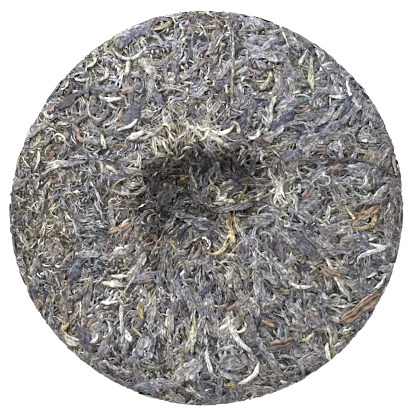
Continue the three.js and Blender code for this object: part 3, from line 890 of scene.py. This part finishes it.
draw = np.random.default_rng(106)
buds = grow(
    1400, 260, draw, length=(5, 14), width=(0.55, 1.35), scatter=0.7,
    keep=lambda x, y: 0.3 + 0.68 * near_lip(x, y) + 0.15 * smoothstep(y - x, -30, 60)
    - 0.16 * (hollow_share(x, y) < 0.8),
)
count = len(buds["x"])
buds.update(
    arch=draw.normal(0, 0.8, count),
    hook=draw.choice([0, 0, 1.2, -1.2, 2.2, -2.2], count) * draw.random(count),
    lift=draw.uniform(0.1, 0.8, count),
    dip=draw.uniform(0.1, 0.9, count),
    blunt=draw.uniform(1.6, 3.5, count),
    thick=draw.uniform(0.4, 0.7, count),
    tone=buds["tone"] ** 1.2,
)
right_tuft = tuft((40, 11), (6, 9), 44, draw)
far_tuft = tuft((4, 40), (12, 4), 18, draw)
buds = together(buds, placed([*NOTABLE_BUDS, *right_tuft, *far_tuft], draw))
buds = together(buds, placed(CURLED_BUDS, draw))
bud_colours = (0.16, 0.157, 0.14), (0.32, 0.315, 0.28), (0.57, 0.565, 0.525), (0.33, 0.34, 0.2)
bud_look = ("Contrast", 1.2), ("Shade Share", 0.3)
bud_material = leaf_material("pale_bud", bud_colours, 0.6, bud_look, roughness=0.75)
finish_kind("pale_buds", buds, bud_material, draw, rings=8, sides=6)

# The golden leaves: a few yellow-brown tips and leaves.
NOTABLE_GOLDEN = (
    (-7, -62, 90, 19, 2.3, 0.1, 0.8), (15, -7, -80, 14, 1.8, 0.4, 0.9),
    (13, -11, -84, 15, 2.6, 0.2, 0.9), (12, -4, -65, 9, 2.2, 0.2, 0.2),
    (10, -16, 65, 9, 1.4, 0.4, 1.0), (6, -21, 22, 14, 1.4, 0.7, 0.8),
    (73, -3, -50, 13, 1.8, 0.4, 0.9), (79, -9, 15, 13, 1.9, 0.8, 0.7),
    (84, -6, 70, 10, 2.2, 0.3, 0.5), (19, 8, 62, 11, 2.2, 0.2, 1.0),
    (-15, 17, 5, 11, 1.3, 0.2, 0.8), (-11, 16, 25, 8, 1.0, -0.2, 0.9),
    (6, 26, 20, 5, 2.8, 0, 0.5), (-23, 91, 20, 13, 2.8, 0.2, 0.6),
    (-35, -62, -42, 8, 1.6, 0.1, 0.7), (-33, -51, -82, 11, 3.3, 0.1, 0.5),
    (-71, -59, 40, 6, 2.8, 0, 0.6), (51, -65, 33, 8, 2, 0.2, 1.0),
    (12, -89, 30, 5, 2.8, 0, 0.5), (40, -42, 20, 6, 2.2, 0, 0.5),
    (80, -46, 40, 20, 2, 0.2, 0.6),
)
draw = np.random.default_rng(107)
golden = grow(120, 40, draw, length=(4, 11), width=(0.6, 1.8), scatter=0.8)
golden = together(golden, placed(NOTABLE_GOLDEN, draw))
golden["thick"] = 0.6 * golden["thick"]
golden["pleat"] = draw.uniform(0.05, 0.2, len(golden["x"]))
golden_colours = (0.12, 0.094, 0.05), (0.25, 0.2, 0.09), (0.4, 0.375, 0.17), (0.24, 0.155, 0.07)
golden_look = ("Wrinkle", 0.9), ("Contrast", 2.0)
golden_material = leaf_material("golden_leaf", golden_colours, 0.6, golden_look)
finish_kind("golden_leaves", golden, golden_material, draw, rings=8, sides=6)

# The russet leaves: leaves that oxidised red-brown, some of them broad.
NOTABLE_RUSSET = (
    (78, -50, 32, 28, 5.6, -0.2, 0.75), (82, -2, 30, 14, 3.8, 0.2, 0.8),
    (-40, 60, 20, 7, 3.8, 0, 0.7), (-44, -10, 25, 14, 3.6, 0.3, 0.8),
    (-40, -13, 60, 9, 2.4, -0.3, 0.5), (77, -5, 40, 12, 3.0, -0.3, 0.6),
    (37, -69, 18, 16, 4.6, 0.2, 0.3), (31, -58, -30, 8, 2, 0.1, 0.8),
    (12, -7, -80, 11, 2.2, 0.2, 0.5), (63, -33, -20, 12, 3.8, 0.2, 0.6),
    (-60, -38, 70, 4, 1.6, 0, 1.0), (-30, -18, 20, 5, 1.2, 0, 1.0),
)
draw = np.random.default_rng(108)
russet = grow(120, 90, draw, length=(6, 15), width=(1.2, 3.8), scatter=0.7)
russet = together(russet, placed(NOTABLE_RUSSET, draw))
press_flat(russet, draw)
russet_colours = (0.06, 0.05, 0.047), (0.13, 0.095, 0.075), (0.25, 0.165, 0.095), (0.13, 0.115, 0.12)
russet_look = ("Fold Pitch", 2.0), ("Fold Drift", 1.5), ("Wrinkle", 0.5), ("Contrast", 2.0)
russet_material = leaf_material("russet_leaf", russet_colours, 0.5, russet_look)
finish_kind("russet_leaves", russet, russet_material, draw, rings=8, sides=7)

# The stems: thin ribbed stalks with blunt ends.
NOTABLE_STEMS = (
    (39, 87, -75, 16, 1.0, 0.1, 0.9), (13, 70, 90, 43, 1.0, 0.05, 0.4),
    (25, 90, 8, 20, 1.2, 0.1, 0.3), (68, 23, -8, 58, 1.2, -0.35, -0.2),
    (76, 23, -2, 30, 0.9, -0.5, -0.2), (31, -71.5, -3, 17, 1.0, 0.1, 0.3),
)
draw = np.random.default_rng(109)
stems = grow(110, 60, draw, length=(10, 28), width=(0.7, 1.3), scatter=0.7)
stems = together(stems, placed(NOTABLE_STEMS, draw))
count = len(stems["x"])
stems["thick"] = draw.uniform(0.8, 1.0, count)
stems["blunt"] = np.full(count, 14.0)
stems["kink"] = 0.5 * stems["kink"]
stem_colours = (0.045, 0.04, 0.038), (0.2, 0.18, 0.14), (0.42, 0.4, 0.31), (0.2, 0.2, 0.15)
stem_material = leaf_material("tea_stem", stem_colours, 0.5)
finish_kind("tea_stems", stems, stem_material, draw, rings=9, sides=5)

# The floor: a plain white light table, so that the cake casts only a faint shadow.


def light_table():
    """A square sheet just under the cake, which glows too, so that it stays white."""
    half_width, height = 1500.0, -0.05
    corners = np.array([[-1, -1], [1, -1], [1, 1], [-1, 1]]) * half_width
    points = np.column_stack([corners, np.full(4, height)])
    floor = write_mesh("floor", points, np.arange(4), np.array([4]), {}, {})
    material, _, shader = new_material("floor_white", 0.9)
    shader.inputs["Base Color"].default_value = (0.3, 0.3, 0.3, 1)
    shader.inputs["Emission Color"].default_value = (1, 1, 1, 1)
    shader.inputs["Emission Strength"].default_value = 0.85
    floor.data.materials.append(material)
    return floor


light_table()

# The light: an even white surround, low soft lights all round that leave the hollow dark, and a
# soft key from the far left.
world = bpy.data.worlds.new("white_surround")
world.use_nodes = True
background = world.node_tree.nodes["Background"].inputs
background["Color"].default_value = (1, 1, 1, 1)
background["Strength"].default_value = 0.74
bpy.context.scene.world = world


def soft_light(name, bearing, size, power, elevation=30, distance=1.4):
    """A square area light on a bearing and at an elevation in degrees, aimed at the cake."""
    lamp = bpy.data.lights.new(name, "AREA")
    lamp.size = size
    lamp.energy = power
    light = add_object(name, lamp)
    turn, rise = np.radians((bearing, elevation))
    flat = distance * np.cos(rise)
    light.location = (flat * np.cos(turn), flat * np.sin(turn), distance * np.sin(rise))
    light.rotation_euler = (0.5 * np.pi - rise, 0, turn + 0.5 * np.pi)


soft_light("key_light", 128, size=0.4, power=34.0)
for bearing in range(0, 360, 60):
    soft_light(f"ring_light_{bearing}", bearing, size=0.5, power=6.4)

# The camera: straight above the cake, with the far side of the cake at the top of the picture.
PICTURE_WIDTH_PX = 412
SCALE_MM = 0.5086  # millimetres of the cake for each pixel of the photograph
CAMERA_HEIGHT = 1.6  # in metres
SENSOR_WIDTH = 36.0
VIEW_CENTRE = (-0.44, 0.73)  # where the middle of the picture falls on the cake
camera_data = bpy.data.cameras.new("camera")
camera_data.sensor_fit = "HORIZONTAL"
camera_data.sensor_width = SENSOR_WIDTH
VIEW_WIDTH = PICTURE_WIDTH_PX * SCALE_MM * MM  # at the height of the rim, in metres
camera_data.lens = SENSOR_WIDTH * (CAMERA_HEIGHT - RIM_HEIGHT * MM) / VIEW_WIDTH
camera_data.clip_end = 20.0
camera = add_object("camera", camera_data)
camera.location = (VIEW_CENTRE[0] * MM, VIEW_CENTRE[1] * MM, CAMERA_HEIGHT)
bpy.context.scene.camera = camera
bpy.context.scene.view_settings.view_transform = "Standard"

# The photograph was sharpened, and so is the picture, a little.
SHARPENING = 0.05
bpy.context.scene.use_nodes = True
picture = bpy.context.scene.node_tree
picture.nodes.clear()
layers = picture.nodes.new("CompositorNodeRLayers")
sharpen = picture.nodes.new("CompositorNodeFilter")
sharpen.filter_type = "SHARPEN_DIAMOND"
sharpen.inputs["Fac"].default_value = SHARPENING
composite = picture.nodes.new("CompositorNodeComposite")
picture.links.new(layers.outputs["Image"], sharpen.inputs["Image"])
picture.links.new(sharpen.outputs["Image"], composite.inputs["Image"])
